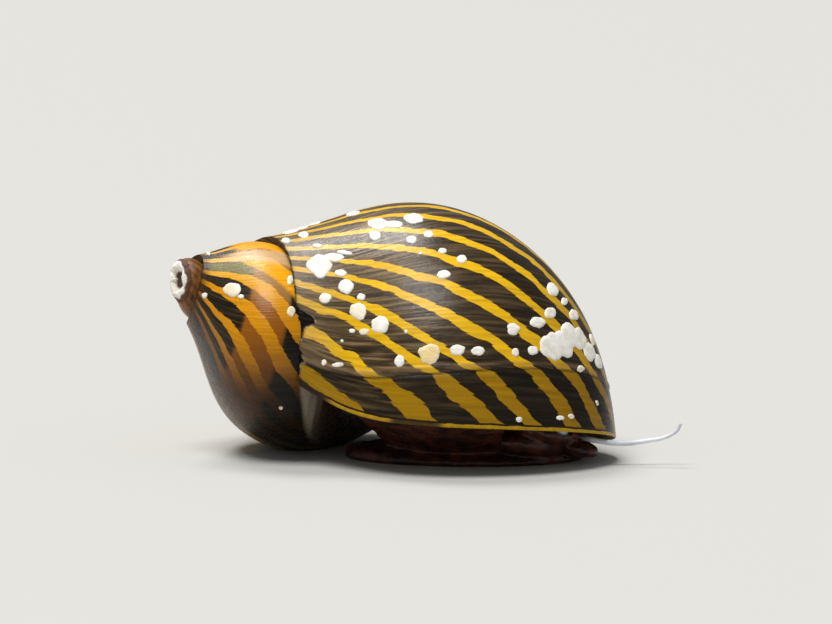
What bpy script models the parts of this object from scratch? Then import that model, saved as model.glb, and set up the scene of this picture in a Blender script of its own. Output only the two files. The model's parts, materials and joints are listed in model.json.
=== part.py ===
# Nerite snail, life size, at rest on its foot. The head points to +X and the sole's centre is
# the origin. Metres, +Z up. Sizes below are in millimetres.
#
# The shell is a coil: a point on it has a turn (radians, 0 at the lip, negative back in growth)
# and a place from 0 at the suture to 1 at the base of the whorl's profile. The profile is turned
# about the shell's axis and grows with the turn.

from math import cos, exp, pi, radians, sin

import bmesh
import bpy
from mathutils import Matrix, Vector

MM = 0.001
GAP = 0.3
SMALL_GAP = 0.16

# Shell's axis: it starts at the apex and dips towards the head.
APEX = Vector((-15.86, 1.5, 9.97))
DIP = radians(27.2)
YAW = radians(10.4)
ROLL = radians(2.8)

# Growth for each radian of turn, quicker in the early whorls.
GROWTH = 0.1275
GROWTH_EARLY = 0.0033

# The whorl's profile at the lip, along the axis and out from it, as the control points of one curve.
PROFILE = [(4.98, 4.39), (12.33, 9.61), (10.27, 14.54), (27.74, 13.59), (26.07, 4.00)]
BASE_INSIDE = 1.4        # how far the base dips in towards the axis
CORE = 0.7               # each stretch of whorl starts this far past the axis
CORE_RADIUS = 0.15

# Near the lip the suture comes down the shell.
DESCENT_ALONG = 2.15
DESCENT_OUT = 1.46
DESCENT_TURN = 1.03
DESCENT_LIMIT = 0.6

# The whorl before swells out where the lip meets it, so that the suture lies on it.
SWELL = 1.5
SWELL_TURN = radians(-342)
SWELL_SPAN = radians(45)

# The lip's turn at the suture, halfway and at the base, and how quickly the slant fades behind it.
LIP_TURNS = (0.307, 0.044, -0.529)
LIP_FADE = 2.0
LIP_WALL = 0.8

# Degrees of turn where the last whorl and the spire start and end. Each is made of stretches
# well under half a turn long, which overlap.
LAST_WHORL = (-225, 0, 2)
SPIRE_WHORLS = (-700, -212, 4)
STRETCH_OVERLAP = 12
RECESS_TURN = -38
RECESS_PLACES = (0.04, 0.97)
COLUMELLA_END = 0.97
COLUMELLA_CUT = 0.9
WORN_APEX_AT = 1.35      # along the axis, where the tip is worn away

# The worn tip: its steps as height and share of the radius, and how far it sits below the axis.
APEX_RADIUS = 1.1
APEX_THICKNESS = 0.55
APEX_STEPS = ((0.0, 1.0), (-0.45, 0.98), (-0.85, 0.78), (-1.0, 0.45))
APEX_WOBBLE = (0.08, 0.05)
APEX_SHIFT = 0.3

# Plane of the aperture: height at the origin and its fall along X and Y.
APERTURE_HEIGHT = 2.10
APERTURE_FALL = (0.22, 0.08)

# What is cut away below that plane: its outline beyond the columella, as X and Y.
BELOW_SHARE = 0.16       # where along the columella the cut starts
BELOW_OUTLINE = ((14, 14), (5, 14), (-1.5, 6.3))
BELOW_NEAR_Y = 3.6
BELOW_DEPTH = 12
FLOOR_SIZE = 30
FLOOR_DEPTH = 20

# The callus lies against the base of the last whorl, between these turns in degrees and places.
CALLUS_TURNS = (-60, -245)
CALLUS_COUNT = 12
CALLUS_INNER = (0.9, -1.0)
CALLUS_OUTER = (1.0, 0.1)
CALLUS_DEPTH = 1.5
CALLUS_BY_COLUMELLA = (0.5, (-2.0, 1.6))

# Operculum: a half oval under the aperture's plane, with the height and scale of each step.
OPERCULUM_CENTRE = (-2.3, 0.45)
OPERCULUM_HALF = (2.5, 3.2)
OPERCULUM_DROP = 0.38
OPERCULUM_STEPS = ((0.0, 0.94), (0.15, 1.0), (0.5, 0.96))

# Foot.
SOLE_LENGTH = 12.6
SOLE_WIDTH = 7.4
FOOT_STEPS = ((0.0, 0.965, 0.0), (0.12, 1.0, 0.0), (0.30, 0.99, 0.0), (0.50, 0.88, -0.7),
              (0.68, 0.72, -1.5), (0.80, 0.50, -2.1))
COLUMN_PLACES = (0.10, 0.58)
COLUMN_SHARE = 0.62
COLUMN_TURN = -24
COLUMN_FOOT = (Vector((-1.3, -1.2, 0.6)), 0.62, 0.6)

# Head and feelers.
HEAD_CENTRE = Vector((4.0, -2.25, 1.72))
HEAD_HALF = Vector((1.9, 1.35, 0.72))
HEAD_DIP = radians(13)
SNOUT_CENTRE = Vector((5.75, -2.1, 0.80))
SNOUT_HALF = Vector((1.1, 1.2, 0.44))
SNOUT_DIP = radians(14)
MOUTH_WIDTH = 0.9
MOUTH_SLIT = 0.14
MOUTH_DEPTH = 0.5
MOUTH_DROP = 0.38

# Points along each feeler's middle, and its radius at the root, where the tip starts and at its end.
FEELER_RIGHT = ((5.6, -2.95, 1.52), (6.6, -2.95, 1.30), (7.5, -2.95, 1.17), (8.35, -2.95, 1.15),
                (9.2, -2.95, 1.26), (10.1, -2.95, 1.42), (10.75, -2.95, 1.76), (11.0, -2.95, 2.2))
FEELER_LEFT = ((5.75, -0.95, 1.62), (5.55, -0.55, 1.78), (5.0, -0.38, 2.0), (4.2, -0.38, 2.2),
               (3.4, -0.5, 2.35), (2.75, -0.75, 2.45))
FEELER_RADII = (0.26, 0.25, 0.10)
FEELER_TIP_FROM = 0.75
FEELER_RINGS = 10        # rings in each length, and sides round it
FEELER_END = 0.45        # how far the rounded end closes in

# Each eye's stalk, from and to, with the place and scale of each step.
STALK_RIGHT = (Vector((4.9, -3.1, 2.0)), Vector((5.15, -3.75, 2.2)))
STALK_LEFT = (Vector((4.6, -1.3, 2.3)), Vector((4.75, -1.05, 2.75)))
STALK_RADIUS = 0.24
STALK_STEPS = ((0, 1.1), (0.4, 1.0), (0.8, 0.9), (1.0, 0.6))
EYE_RADIUS = 0.19

# Material colours: linear red, green and blue, then roughness.
COLOURS = {
    "shell_stripes": ((0.30, 0.16, 0.02), 0.3),
    "shell_spire": ((0.26, 0.10, 0.01), 0.35),
    "shell_chalk": ((0.70, 0.66, 0.58), 0.7),
    "shell_callus": ((0.42, 0.38, 0.30), 0.35),
    "operculum": ((0.25, 0.17, 0.10), 0.4),
    "flesh_dark": ((0.06, 0.03, 0.02), 0.45),
    "feeler": ((0.55, 0.55, 0.52), 0.4),
    "eye": ((0.01, 0.01, 0.01), 0.15),
}

AXIS = Vector((cos(YAW) * cos(DIP), sin(YAW) * cos(DIP), -sin(DIP)))


def shell_sides():
    """The two directions square to the shell's axis that turns are counted from."""
    towards_viewer = Vector((0, -1, 0))
    side = (towards_viewer - AXIS * towards_viewer.dot(AXIS)).normalized()
    up = AXIS.cross(side)
    first = side * cos(ROLL) - up * sin(ROLL)
    return first, AXIS.cross(first)


SIDE, TOP = shell_sides()


def bezier(points, t):
    """Point at t on the curve that the control points give."""
    points = [Vector(p) for p in points]
    while len(points) > 1:
        points = [a.lerp(b, t) for a, b in zip(points, points[1:])]
    return points[0]


def growth(turn):
    return exp(GROWTH * turn + GROWTH_EARLY * turn * abs(turn))


def lip_turn(place):
    start, middle, end = LIP_TURNS
    return start * (1 - place) ** 2 + 2 * middle * place * (1 - place) + end * place ** 2


def slanted_turn(turn, place):
    """A turn counted along the growth lines, which slant as the lip does."""
    return turn + lip_turn(place) * exp(LIP_FADE * min(turn, 0))


def profile_point(turn, place, grow):
    """Along and out from the axis, in mm, moved out by grow from the whorl's surface."""
    def bare(at):
        along, out = bezier(PROFILE, at)
        late = exp(min(turn, DESCENT_LIMIT) / DESCENT_TURN) * (1 - at) ** 3
        swell = SWELL * exp(-((turn - SWELL_TURN) / SWELL_SPAN) ** 2) * 4 * at * (1 - at)
        size = growth(turn)
        return Vector(((along + DESCENT_ALONG * late) * size,
                       (out + DESCENT_OUT * late) * size + swell))
    step = 0.01
    before = bare(max(place - step, 0))
    after = bare(min(place + step, 1))
    tangent = (after - before).normalized()
    return bare(place) + Vector((-tangent.y, tangent.x)) * grow


def coil_point(turn, along, out):
    return APEX + AXIS * along + (SIDE * cos(turn) + TOP * sin(turn)) * out


def shell_point(turn, place, grow=0.0):
    along, out = profile_point(turn, place, grow)
    return coil_point(turn, along, out)


def aperture_z(x, y):
    return APERTURE_HEIGHT - APERTURE_FALL[0] * x - APERTURE_FALL[1] * y


def new_mesh(name):
    return bpy.data.meshes.new(name), bmesh.new()


def finish_object(name, mesh, bm):
    """Turn the bmesh from mm to metres and link it as an object."""
    bmesh.ops.remove_doubles(bm, verts=bm.verts, dist=0.001)
    bmesh.ops.recalc_face_normals(bm, faces=bm.faces)
    bmesh.ops.transform(bm, matrix=Matrix.Scale(MM, 4), verts=bm.verts)
    bm.to_mesh(mesh)
    bm.free()
    mesh.shade_smooth()
    mesh.set_sharp_from_angle(angle=radians(35))
    obj = bpy.data.objects.new(name, mesh)
    bpy.context.scene.collection.objects.link(obj)
    return obj


def loft(name, rings):
    """A closed solid through rings of equally many points, capped at both ends."""
    mesh, bm = new_mesh(name)
    loops = [[bm.verts.new(p) for p in ring] for ring in rings]
    for ring, following in zip(loops, loops[1:]):
        for i in range(len(ring)):
            j = (i + 1) % len(ring)
            bm.faces.new((ring[i], ring[j], following[j], following[i]))
    caps = [bm.faces.new(loops[0][::-1]), bm.faces.new(loops[-1])]
    bmesh.ops.triangulate(bm, faces=caps)
    return finish_object(name, mesh, bm)


def hull(name, points):
    """The smallest outward-curved solid round the points."""
    mesh, bm = new_mesh(name)
    verts = [bm.verts.new(p) for p in points]
    result = bmesh.ops.convex_hull(bm, input=verts)
    unused = [v for v in result["geom_interior"] if isinstance(v, bmesh.types.BMVert)]
    bmesh.ops.delete(bm, geom=unused, context="VERTS")
    return finish_object(name, mesh, bm)


def apply_boolean(obj, tools, operation):
    """Union with or difference from the tools, in one step, with the tools then removed."""
    group = bpy.data.collections.new("tools")
    bpy.context.scene.collection.children.link(group)
    for tool in tools:
        group.objects.link(tool)
    modifier = obj.modifiers.new("join or cut", "BOOLEAN")
    modifier.operation = operation
    modifier.solver = "EXACT"
    modifier.operand_type = "COLLECTION"
    modifier.collection = group
    graph = bpy.context.evaluated_depsgraph_get()
    whole = obj.data
    obj.data = bpy.data.meshes.new_from_object(obj.evaluated_get(graph))
    obj.modifiers.clear()
    meshes = [whole] + [tool.data for tool in tools]
    for tool in tools:
        bpy.data.objects.remove(tool)
    for mesh in meshes:
        bpy.data.meshes.remove(mesh)
    bpy.data.collections.remove(group)
    obj.data.name = obj.name
    keep_largest(obj)
    return obj


def keep_largest(obj):
    """Keep the largest closed surface, which drops scraps that a cut leaves."""
    bm = bmesh.new()
    bm.from_mesh(obj.data)
    bmesh.ops.remove_doubles(bm, verts=bm.verts, dist=0.002 * MM)
    bmesh.ops.dissolve_degenerate(bm, edges=bm.edges, dist=0.002 * MM)
    bmesh.ops.triangulate(bm, faces=bm.faces)
    left = set(bm.faces)
    pieces = []
    while left:
        piece = {left.pop()}
        front = list(piece)
        while front:
            face = front.pop()
            for edge in face.edges:
                for other in edge.link_faces:
                    if other in left:
                        left.remove(other)
                        piece.add(other)
                        front.append(other)
        pieces.append(piece)
    largest = max(pieces, key=lambda piece: sum(face.calc_area() for face in piece))
    scraps = [face for face in bm.faces if face not in largest]
    bmesh.ops.delete(bm, geom=scraps, context="FACES")
    bm.to_mesh(obj.data)
    bm.free()
    obj.data.shade_smooth()
    obj.data.set_sharp_from_angle(angle=radians(35))


def whorl_stretch(name, start, end, places, step, grow=0.0):
    """A stretch of whorl from one turn to another, in degrees, solid to just past the axis."""
    count = max(2, round((end - start) / step))
    spread = grow / 4.0      # the ends move out too, by about the growth at 4 mm from the axis
    middle = radians(start + end) / 2
    rings = []
    for i in range(count + 1):
        turn = radians(start) - spread + (radians(end - start) + 2 * spread) * i / count
        outer = []
        for j in range(places + 1):
            place = j / places
            outer.append(shell_point(slanted_turn(turn, place), place, grow))
        base_along = (PROFILE[-1][0] - BASE_INSIDE) * growth(slanted_turn(turn, 1)) + grow
        top_along = profile_point(slanted_turn(turn, 0), 0, 0)[0] - grow
        inner = []
        for along, place in ((base_along, 1), (top_along, 0)):
            angle = slanted_turn(turn, place)
            out = (SIDE * cos(angle) + TOP * sin(angle)) * CORE_RADIUS
            inner.append(coil_point(middle, along, -CORE - grow) + out)
        rings.append(outer + inner)
    return loft(name, rings)


def whorl_stretches(name, turns, places, step, grow=0.0):
    start, end, count = turns
    length = (end - start) / count
    made = []
    for i in range(count):
        overlap = STRETCH_OVERLAP if i else 0
        made.append(whorl_stretch(name, start + length * i - overlap, start + length * (i + 1),
                                  places, step, grow))
    return made


def aperture_loop(turn, inset, start, end, share=1.0, count=12):
    """A loop across the aperture: along the lip, then straight back along the columella.

    share is how much of the columella's length, from the suture, the loop takes in.
    """
    def at(place):
        return shell_point(slanted_turn(turn, place), place, -inset)
    outer = [at(start + (end - start) * i / count) for i in range(count + 1)]
    far_end = at(start).lerp(at(COLUMELLA_END), share)
    inner = [far_end.lerp(outer[0], i / count) for i in range(count)]
    return outer + (inner[1:] if share == 1.0 else inner)


def below_aperture():
    """What lies under the aperture's plane, between the columella's edge and the far base."""
    start, end = RECESS_PLACES
    first, last = (shell_point(slanted_turn(0, place), place, -LIP_WALL) for place in (start, end))
    towards_lip = Vector((0, -COLUMELLA_CUT, 0))
    near, far = first.lerp(last, BELOW_SHARE) + towards_lip, last + towards_lip
    outline = ((near.x, near.y), (far.x, far.y), (far.x + 2, far.y), *BELOW_OUTLINE,
               (near.x, BELOW_NEAR_Y))
    top = [Vector((x, y, aperture_z(x, y))) for x, y in outline]
    bottom = [p - Vector((0, 0, BELOW_DEPTH)) for p in top]
    return loft("below_aperture", [bottom, top])


def box_below_floor():
    size = FLOOR_SIZE
    corners = ((-size, -size), (size, -size), (size, size), (-size, size))
    return loft("below_floor", [[Vector((x, y, z)) for x, y in corners] for z in (-FLOOR_DEPTH, 0)])


def make_last_whorl():
    whorl, *others = whorl_stretches("shell_last_whorl", LAST_WHORL, 22, 9)
    apply_boolean(whorl, others, "UNION")
    loops = [aperture_loop(radians(turn), LIP_WALL, *RECESS_PLACES)
             for turn in (RECESS_TURN, RECESS_TURN * 0.66, RECESS_TURN * 0.33, 0, 12)]
    recess = loft("recess", loops)
    return apply_boolean(whorl, [below_aperture(), recess, box_below_floor()], "DIFFERENCE")


def grown_last_whorl():
    """Cutters that keep the neighbours clear of the last whorl."""
    return whorl_stretches("clear", LAST_WHORL, 22, 9, GAP)


def make_spire():
    spire, *others = whorl_stretches("shell_spire", SPIRE_WHORLS, 18, 11)
    apply_boolean(spire, others, "UNION")
    worn = hull("worn", [coil_point(radians(turn), along, 6)
                         for turn in range(0, 360, 30) for along in (-4, WORN_APEX_AT)])
    return apply_boolean(spire, grown_last_whorl() + [worn, box_below_floor()], "DIFFERENCE")


def make_apex():
    """A low, worn and slightly lopsided plug that closes the tip."""
    low = WORN_APEX_AT - SMALL_GAP
    wide, fine = APEX_WOBBLE
    count = 14
    rings = []
    for rise, scale in APEX_STEPS:
        ring = []
        for i in range(count):
            turn = 2 * pi * i / count
            radius = APEX_RADIUS * scale * (1 + wide * sin(2 * turn + 0.6) + fine * sin(3 * turn))
            ring.append(coil_point(turn, low + rise * APEX_THICKNESS, radius) + TOP * APEX_SHIFT)
        rings.append(ring)
    return loft("shell_apex", rings)


def make_callus():
    """The flat callus under the shell, from the columella's edge to the base of the whorl."""
    points = []
    start, end = CALLUS_TURNS
    for i in range(CALLUS_COUNT):
        turn = radians(start + (end - start) * i / (CALLUS_COUNT - 1))
        points += [shell_point(turn, *CALLUS_INNER), shell_point(turn, *CALLUS_OUTER)]
        points.append(points[-1] - Vector((0, 0, CALLUS_DEPTH)))
    behind, heights = CALLUS_BY_COLUMELLA
    for p in aperture_loop(0, 0, *RECESS_PLACES)[13:]:
        points += [Vector((p.x, p.y + behind, p.z + height)) for height in heights]
    for p in points:
        p.z = max(p.z, aperture_z(p.x, p.y))
    callus = hull("shell_callus", points)
    return apply_boolean(callus, grown_last_whorl(), "DIFFERENCE")


def sole_outline(scale, shift, height, count=36):
    """An oval, blunt at the head end and narrower behind."""
    ring = []
    for i in range(count):
        angle = 2 * pi * i / count
        width = SOLE_WIDTH / 2 * (1 + 0.10 * cos(angle))
        ring.append(Vector((shift + scale * SOLE_LENGTH / 2 * cos(angle),
                            scale * width * sin(angle), height)))
    return ring


def make_foot():
    foot = loft("foot", [sole_outline(scale, shift, height) for height, scale, shift in FOOT_STEPS])
    inset = LIP_WALL + GAP
    top = aperture_loop(radians(COLUMN_TURN), inset + GAP, *COLUMN_PLACES, COLUMN_SHARE)
    middle = aperture_loop(radians(COLUMN_TURN / 2), inset, *COLUMN_PLACES, COLUMN_SHARE)
    rim = aperture_loop(0, inset, *COLUMN_PLACES, COLUMN_SHARE)
    rim_centre = sum(rim, Vector()) / len(rim)
    waist_centre, along, across = COLUMN_FOOT
    waist = [waist_centre + Vector(((p.x - rim_centre.x) * along, (p.y - rim_centre.y) * across, 0))
             for p in rim]
    column = loft("column", [waist, rim, middle, top])
    return apply_boolean(foot, [column], "UNION")


def make_operculum():
    """A thin half-round plate carried on the back of the foot."""
    length, depth = OPERCULUM_HALF
    count = 18
    outline = [(length * cos(pi * i / count), depth * sin(pi * i / count)) for i in range(count + 1)]
    rings = []
    for drop, scale in OPERCULUM_STEPS:
        ring = []
        for x, y in outline:
            px, py = OPERCULUM_CENTRE[0] + x * scale, OPERCULUM_CENTRE[1] + y * scale
            ring.append(Vector((px, py, aperture_z(px, py) - OPERCULUM_DROP - drop)))
        rings.append(ring)
    return loft("operculum", rings)


def ellipsoid(name, centre, half, dip, segments, rings):
    mesh, bm = new_mesh(name)
    bmesh.ops.create_uvsphere(bm, u_segments=segments, v_segments=rings, radius=1.0)
    place = (Matrix.Translation(centre) @ Matrix.Rotation(dip, 4, "Y")
             @ Matrix.Diagonal((*half, 1)))
    bmesh.ops.transform(bm, matrix=place, verts=bm.verts)
    return finish_object(name, mesh, bm)


def grown(size, gap):
    return size + Vector((gap, gap, gap))


def make_head():
    return ellipsoid("head", HEAD_CENTRE, HEAD_HALF, HEAD_DIP, 22, 14)


def clear_of_head(gap=SMALL_GAP):
    return ellipsoid("clear_head", HEAD_CENTRE, grown(HEAD_HALF, gap), HEAD_DIP, 22, 14)


def make_snout():
    """A short broad muzzle, with the mouth's slit across its front."""
    snout = ellipsoid("snout", SNOUT_CENTRE, SNOUT_HALF, SNOUT_DIP, 18, 12)
    slit_half = Vector((MOUTH_DEPTH, MOUTH_WIDTH / 2, MOUTH_SLIT / 2))
    slit_centre = SNOUT_CENTRE + Vector((SNOUT_HALF.x, 0, -MOUTH_DROP))
    slit = ellipsoid("slit", slit_centre, slit_half, SNOUT_DIP, 12, 8)
    return apply_boolean(snout, [clear_of_head(), slit], "DIFFERENCE")


def smooth_path(points, count):
    """Evenly spread points on a smooth curve through the given ones."""
    points = [Vector(p) for p in points]
    padded = [points[0] * 2 - points[1]] + points + [points[-1] * 2 - points[-2]]
    path = []
    for i in range(count + 1):
        at = (len(points) - 1) * i / count
        k = min(int(at), len(points) - 2)
        t = at - k
        a, b, c, d = padded[k:k + 4]
        path.append((b * 2 + (c - a) * t + (a * 2 - b * 5 + c * 4 - d) * t ** 2
                     + (b * 3 - a - c * 3 + d) * t ** 3) / 2)
    return path


def round_ring(centre, direction, radius):
    """Points round a centre, square to the direction."""
    turn = direction.to_track_quat("Z", "Y").to_matrix()
    angles = [2 * pi * k / FEELER_RINGS for k in range(FEELER_RINGS)]
    return [centre + turn @ Vector((cos(a) * radius, sin(a) * radius, 0)) for a in angles]


def feeler_radius(at):
    root, middle, end = FEELER_RADII
    if at < FEELER_TIP_FROM:
        return root + (middle - root) * at / FEELER_TIP_FROM
    return middle + (end - middle) * (at - FEELER_TIP_FROM) / (1 - FEELER_TIP_FROM)


def feeler_lengths(side, points, names):
    """The feeler as lengths end to end, the last one tapered to a rounded tip."""
    count = FEELER_RINGS * len(names)
    path = smooth_path(points, count)
    made = []
    for n, part in enumerate(names):
        first = FEELER_RINGS * n
        piece = path[first:first + FEELER_RINGS + 1]
        if n:
            piece[0] = piece[0] + (piece[1] - piece[0]).normalized() * SMALL_GAP
        rings = []
        for i, p in enumerate(piece):
            ahead = piece[min(i + 1, len(piece) - 1)] - piece[max(i - 1, 0)]
            rings.append(round_ring(p, ahead, feeler_radius((first + i) / count)))
        if n == len(names) - 1:
            ahead = (piece[-1] - piece[-2]).normalized()
            end = feeler_radius(1)
            rings.append(round_ring(piece[-1] + ahead * end, ahead, end * FEELER_END))
        made.append(loft(f"tentacle_{side}_{part}", rings))
    apply_boolean(made[0], [clear_of_head()], "DIFFERENCE")
    return made


def make_eye(side, stalk_from, stalk_to):
    """A short stalk at the feeler's root, with the eye on its end."""
    ahead = stalk_to - stalk_from
    rings = [round_ring(stalk_from.lerp(stalk_to, at), ahead, STALK_RADIUS * scale)
             for at, scale in STALK_STEPS]
    stalk = loft(f"eye_stalk_{side}", rings)
    apply_boolean(stalk, [clear_of_head()], "DIFFERENCE")
    centre = stalk_to + ahead.normalized() * (SMALL_GAP + EYE_RADIUS)
    eye = ellipsoid(f"eye_{side}", centre, Vector((EYE_RADIUS,) * 3), 0, 12, 8)
    return stalk, eye


def material(name):
    colour, roughness = COLOURS[name]
    made = bpy.data.materials.new(name)
    made.use_nodes = True
    shader = made.node_tree.nodes["Principled BSDF"]
    shader.inputs["Base Color"].default_value = (*colour, 1)
    shader.inputs["Roughness"].default_value = roughness
    shader.inputs["Metallic"].default_value = 0
    return made


def clear_scene():
    for obj in list(bpy.data.objects):
        bpy.data.objects.remove(obj)


def build():
    clear_scene()
    finishes = {
        "shell_stripes": [make_last_whorl()],
        "shell_spire": [make_spire()],
        "shell_chalk": [make_apex()],
        "shell_callus": [make_callus()],
        "operculum": [make_operculum()],
        "flesh_dark": [make_foot(), make_head(), make_snout()],
        "feeler": (feeler_lengths("right", FEELER_RIGHT, ("base", "middle", "tip"))
                   + feeler_lengths("left", FEELER_LEFT, ("base", "tip"))),
        "eye": [],
    }
    right_stalk, right_eye = make_eye("right", *STALK_RIGHT)
    left_stalk, left_eye = make_eye("left", *STALK_LEFT)
    finishes["feeler"] += [right_stalk, left_stalk]
    finishes["eye"] += [right_eye, left_eye]
    for name, objects in finishes.items():
        for obj in objects:
            obj.data.materials.clear()
            obj.data.materials.append(material(name))


build()
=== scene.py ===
import json
from bisect import bisect_right
from functools import lru_cache
from math import atan2, cos, exp, pi, radians, sin

import bmesh
import bpy
from mathutils import Matrix, Vector, kdtree, noise

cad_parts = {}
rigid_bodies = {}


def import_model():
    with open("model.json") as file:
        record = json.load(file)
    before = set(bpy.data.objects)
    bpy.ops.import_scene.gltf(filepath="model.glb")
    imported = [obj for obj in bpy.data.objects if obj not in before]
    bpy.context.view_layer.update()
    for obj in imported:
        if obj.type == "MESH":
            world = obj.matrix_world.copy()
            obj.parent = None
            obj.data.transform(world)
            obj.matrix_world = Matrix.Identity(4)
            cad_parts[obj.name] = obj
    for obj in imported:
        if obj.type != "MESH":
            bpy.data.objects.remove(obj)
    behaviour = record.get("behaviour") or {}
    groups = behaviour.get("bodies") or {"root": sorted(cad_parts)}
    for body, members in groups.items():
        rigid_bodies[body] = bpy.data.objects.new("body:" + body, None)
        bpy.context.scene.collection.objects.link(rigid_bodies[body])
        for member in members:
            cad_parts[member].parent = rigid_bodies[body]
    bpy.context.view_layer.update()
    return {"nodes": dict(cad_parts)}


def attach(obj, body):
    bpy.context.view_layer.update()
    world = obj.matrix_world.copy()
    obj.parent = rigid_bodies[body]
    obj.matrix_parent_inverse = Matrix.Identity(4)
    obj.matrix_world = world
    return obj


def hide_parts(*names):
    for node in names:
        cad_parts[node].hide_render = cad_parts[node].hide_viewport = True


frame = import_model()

print("frame loaded")

# Shapes are worked out in millimetres and brought to metres as each piece is finished.
mm = 0.001

# The shell is a coil. A point on it has a turn in degrees (0 at the lip, negative back in growth)
# and a place, from 0 at the suture to 1 at the base of the whorl's profile.
coil = {
    "apex": Vector((-15.86, 1.5, 9.97)),
    "dip": radians(27.2), "yaw": radians(10.4), "roll": radians(2.8),
    "growth": 0.1275, "earlyGrowth": 0.0033,            # for each radian of turn
    "profile": ((4.98, 4.39), (12.33, 9.61), (10.27, 14.54), (27.74, 13.59), (26.07, 4.00)),
    "descentAlong": 2.15, "descentOut": 1.46, "descentTurn": 1.03, "descentLimit": 0.6,
    "swell": 1.5, "swellTurn": -342, "swellSpan": 45,   # where the lip meets the whorl before
    "lipTurns": (0.307, 0.044, -0.529),                 # radians at the suture, halfway, at the base
    "baseDip": 1.4, "coreRadius": 0.15,
    "apertureHeight": 2.10, "apertureFall": (0.22, 0.08),
}

dip, yaw = coil["dip"], coil["yaw"]
axis = Vector((cos(yaw) * cos(dip), sin(yaw) * cos(dip), -sin(dip)))
level = (Vector((0, -1, 0)) + axis * axis.y).normalized()
firstSide = level * cos(coil["roll"]) - axis.cross(level) * sin(coil["roll"])
secondSide = axis.cross(firstSide)


def smooth(low, high, value):
    t = min(max((value - low) / (high - low), 0), 1)
    return t * t * (3 - 2 * t)


def mix(a, b, t):
    return a + (b - a) * t


def along(points, at):
    # height at `at` on the straight lines through (x, y) points
    xs = [p[0] for p in points]
    k = min(max(bisect_right(xs, at) - 1, 0), len(points) - 2)
    (x0, y0), (x1, y1) = points[k], points[k + 1]
    return mix(y0, y1, (at - x0) / (x1 - x0))


@lru_cache(maxsize=None)
def profileAt(place):
    points = [Vector(p) for p in coil["profile"]]
    while len(points) > 1:
        points = [a.lerp(b, place) for a, b in zip(points, points[1:])]
    return points[0]


@lru_cache(maxsize=None)
def lipTurn(place):
    start, middle, end = coil["lipTurns"]
    return (start * (1 - place) ** 2 + 2 * middle * place * (1 - place) + end * place ** 2) * 180 / pi


def sizeAt(turn):
    t = radians(turn)
    return exp(coil["growth"] * t + coil["earlyGrowth"] * t * abs(t))


def section(turn, place):
    # the point of the whorl's profile, in mm along the axis and out from it
    point = profileAt(round(place, 5))
    late = exp(min(radians(turn), coil["descentLimit"]) / coil["descentTurn"]) * (1 - place) ** 3
    bulge = exp(-((turn - coil["swellTurn"]) / coil["swellSpan"]) ** 2) * 4 * place * (1 - place)
    size = sizeAt(turn)
    return Vector(((point.x + coil["descentAlong"] * late) * size,
                   (point.y + coil["descentOut"] * late) * size + coil["swell"] * bulge))


def coilPoint(turn, reach, out):
    t = radians(turn)
    return coil["apex"] + axis * reach + (firstSide * cos(t) + secondSide * sin(t)) * out


def shellPoint(turn, place, lift=0.0):
    flat = section(turn, place)
    if lift:
        run = section(turn, min(place + 0.01, 1)) - section(turn, max(place - 0.01, 0))
        flat += Vector((-run.y, run.x)).normalized() * lift
    return coilPoint(turn, flat.x, flat.y)


def apertureZ(p):
    # height of the aperture's plane, which leans a little
    fallX, fallY = coil["apertureFall"]
    return coil["apertureHeight"] - fallX * p.x - fallY * p.y


def placed(name, data):
    # a new object in the scene
    obj = bpy.data.objects.new(name, data)
    bpy.context.scene.collection.objects.link(obj)
    return obj


def objectFrom(name, bm, scale=mm):
    bmesh.ops.transform(bm, matrix=Matrix.Scale(scale, 4), verts=bm.verts)
    mesh = bpy.data.meshes.new(name)
    bm.to_mesh(mesh)
    bm.free()
    return placed(name, mesh)


def finish(name, bm, nodes, material):
    # a piece on the one body, with its material and the nodes that it replaces
    bmesh.ops.recalc_face_normals(bm, faces=bm.faces)
    obj = objectFrom(name, bm)
    obj.data.shade_smooth()
    obj.data.materials.append(material)
    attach(obj, "root")
    if nodes:
        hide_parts(*nodes)
    print(name, len(obj.data.polygons), "faces")


def colour(hexCode, alpha=1.0):
    parts = [int(hexCode[i:i + 2], 16) / 255 for i in (1, 3, 5)]
    return (*[c / 12.92 if c <= 0.04045 else ((c + 0.055) / 1.055) ** 2.4 for c in parts], alpha)


def newMaterial(name, roughness, ior=1.5):
    material = bpy.data.materials.new(name)
    material.use_nodes = True
    shader = material.node_tree.nodes["Principled BSDF"]
    shader.inputs["Roughness"].default_value = roughness
    shader.inputs["IOR"].default_value = ior
    return material, material.node_tree, shader


def add(tree, kind, settings, links, out=0):
    # one node with its settings, and links or values for its inputs
    node = tree.nodes.new(kind)
    for key, value in settings.items():
        setattr(node, key, value)
    for key, value in links.items():
        if isinstance(value, bpy.types.NodeSocket):
            tree.links.new(value, node.inputs[key])
        else:
            node.inputs[key].default_value = value
    return node.outputs[out]


# settings that many nodes share
times, timesPlus = {"operation": "MULTIPLY"}, {"operation": "MULTIPLY_ADD"}
softEdge, blend = {"interpolation_type": "SMOOTHSTEP"}, {"data_type": "RGBA"}


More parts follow.
